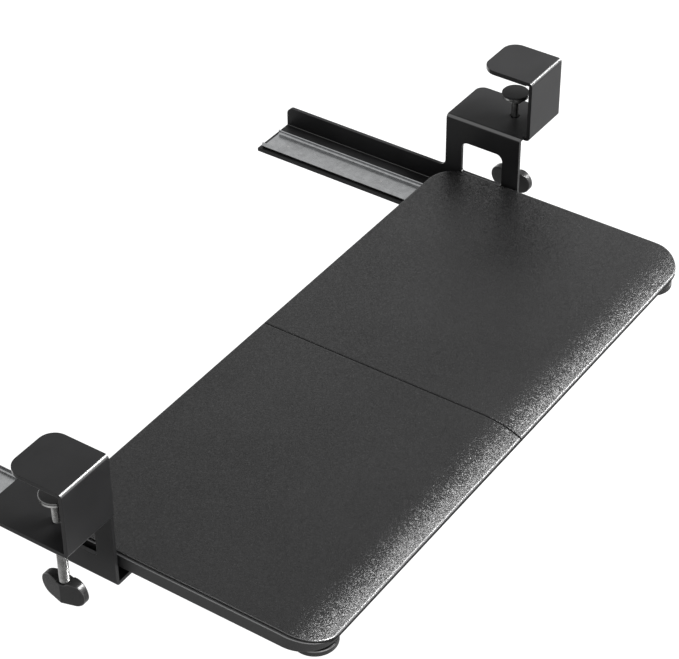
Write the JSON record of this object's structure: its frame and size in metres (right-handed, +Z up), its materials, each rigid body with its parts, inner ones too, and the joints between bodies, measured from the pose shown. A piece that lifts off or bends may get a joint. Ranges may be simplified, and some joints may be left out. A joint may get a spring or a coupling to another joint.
{
  "type": "clamp-on under-desk keyboard tray",
  "caption": "Flat keyboard tray with a rolled front edge that slides out on ball-bearing slides hung from two steel C-clamp brackets on a desk's front edge.",
  "frame": {"origin": "on the top front edge of the desk board that the part clamps to, midway between the two clamps", "axes": "+X to the right of a person sitting at the desk, +Y in under the desk, +Z up; the tray is stored pulled out"},
  "size_m": [0.833, 0.5171, 0.1654],
  "materials": {
    "bracket_steel": "satin black powder coat on bent steel sheet",
    "rubber": "matt black rubber",
    "zinc_steel": "bright zinc plating",
    "knob_plastic": "glossy black moulded plastic",
    "slide_steel": "zinc-plated rolled sheet",
    "cage_steel": "plain thin steel strip with a film of grease",
    "ball_steel": "polished bearing steel",
    "tray_top_plastic": "dark grey plastic with a fine leather grain",
    "tray_base_plastic": "black moulded plastic",
    "bar_steel": "black coated steel strip",
    "screw_steel": "zinc-plated small screws"
  },
  "bodies": {
    "clamps": {"left_clamp_bracket": "bracket_steel", "right_clamp_bracket": "bracket_steel", "left_jaw_pad": "rubber", "right_jaw_pad": "rubber", "left_clamp_nut": "zinc_steel", "right_clamp_nut": "zinc_steel", "left_slide_outer": "slide_steel", "right_slide_outer": "slide_steel", "slide_outer_screws": "screw_steel"},
    "tray": {"left_tray_top": "tray_top_plastic", "right_tray_top": "tray_top_plastic", "left_tray_base": "tray_base_plastic", "right_tray_base": "tray_base_plastic", "front_joining_bar": "bar_steel", "rear_joining_bar": "bar_steel", "joining_bar_screws": "screw_steel", "left_slide_inner": "slide_steel", "right_slide_inner": "slide_steel", "slide_inner_screws": "screw_steel", "left_corner_bumper": "rubber", "right_corner_bumper": "rubber", "bumper_screws": "screw_steel"},
    "left_cage": {"left_ball_cage": "cage_steel", "left_slide_balls": "ball_steel"},
    "right_cage": {"right_ball_cage": "cage_steel", "right_slide_balls": "ball_steel"},
    "left_foot": {"left_clamp_foot": "zinc_steel", "left_foot_cushion": "rubber"},
    "right_foot": {"right_clamp_foot": "zinc_steel", "right_foot_cushion": "rubber"},
    "left_screw": {"left_clamp_screw": "zinc_steel", "left_knob": "knob_plastic"},
    "right_screw": {"right_clamp_screw": "zinc_steel", "right_knob": "knob_plastic"}
  },
  "joints": [
    {"name": "tray_slide", "type": "slide", "parent": "clamps", "child": "tray", "axis": [0, 1, 0], "range_m": [0, 0.166]},
    {"name": "left_cage_roll", "type": "slide", "parent": "clamps", "child": "left_cage", "axis": [0, 1, 0], "range_m": [0, 0.083]},
    {"name": "right_cage_roll", "type": "slide", "parent": "clamps", "child": "right_cage", "axis": [0, 1, 0], "range_m": [0, 0.083]},
    {"name": "left_foot_lift", "type": "slide", "parent": "clamps", "child": "left_foot", "axis": [0, 0, 1], "range_m": [-0.018, 0.022]},
    {"name": "right_foot_lift", "type": "slide", "parent": "clamps", "child": "right_foot", "axis": [0, 0, 1], "range_m": [-0.018, 0.022]},
    {"name": "left_screw_turn", "type": "hinge", "parent": "left_foot", "child": "left_screw", "pos_m": [-0.38525, 0.033, -0.044], "axis": [0, 0, 1], "range_deg": [-4320, 5280]},
    {"name": "right_screw_turn", "type": "hinge", "parent": "right_foot", "child": "right_screw", "pos_m": [0.38525, 0.033, -0.044], "axis": [0, 0, 1], "range_deg": [-4320, 5280]}
  ],
  "couplings": [
    {"joint": "left_cage_roll", "follows": "tray_slide", "ratio": 0.5},
    {"joint": "right_cage_roll", "follows": "tray_slide", "ratio": 0.5},
    {"joint": "left_screw_turn", "follows": "left_foot_lift", "rad_per_m": 4188.8},
    {"joint": "right_screw_turn", "follows": "right_foot_lift", "rad_per_m": 4188.8}
  ]
}
